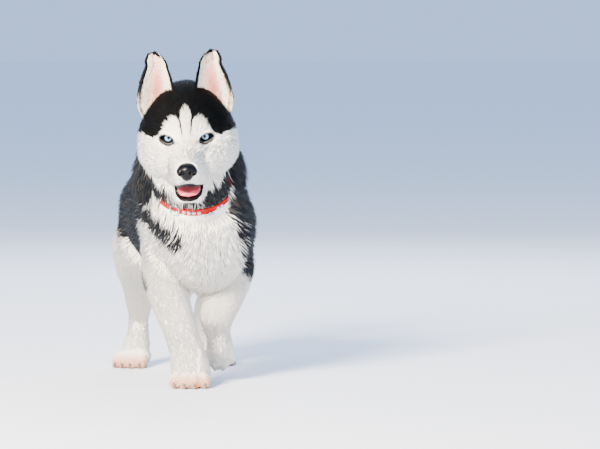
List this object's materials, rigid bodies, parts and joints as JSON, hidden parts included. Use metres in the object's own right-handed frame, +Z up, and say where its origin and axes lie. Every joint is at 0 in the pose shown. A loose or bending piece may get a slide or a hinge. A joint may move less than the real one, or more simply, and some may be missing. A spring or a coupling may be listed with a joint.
{
  "type": "siberian husky puppy",
  "caption": "Walking husky puppy with upright ears, open mouth and one lifted forefoot, wearing a red collar with steel fittings.",
  "frame": {"origin": "on the floor, under the middle of the bounding box", "axes": "+Z up, -Y the way the animal walks, +X its own left side"},
  "size_m": [0.2142, 0.5622, 0.5152],
  "materials": {
    "coat_dark": "dense guard hair, near black to grey",
    "coat_pale": "short and long white hair",
    "nose_leather": "moist pebbled skin",
    "eye": "wet cornea over a pale blue iris",
    "tongue": "moist",
    "collar_webbing": "woven",
    "collar_steel": "polished"
  },
  "bodies": {
    "root": {"nose": "nose_leather", "eye_left": "eye", "ear_left": "coat_dark", "eye_right": "eye", "ear_right": "coat_dark", "tongue": "tongue", "lower_jaw": "coat_pale", "collar_strap": "collar_webbing", "collar_buckle": "collar_steel", "collar_ring": "collar_steel", "collar_stud_1": "collar_steel", "collar_stud_2": "collar_steel", "collar_stud_3": "collar_steel", "collar_stud_4": "collar_steel", "collar_stud_5": "collar_steel", "collar_stud_6": "collar_steel", "forepaw_right": "coat_pale", "foreleg_right": "coat_pale", "forepaw_left": "coat_pale", "foreleg_left": "coat_pale", "hindpaw_left": "coat_pale", "rear_pastern_left": "coat_pale", "hindleg_left": "coat_pale", "hindpaw_right": "coat_pale", "rear_pastern_right": "coat_pale", "hindleg_right": "coat_pale", "tail": "coat_dark", "head": "coat_pale", "neck": "coat_dark", "torso": "coat_dark"}
  },
  "joints": []
}
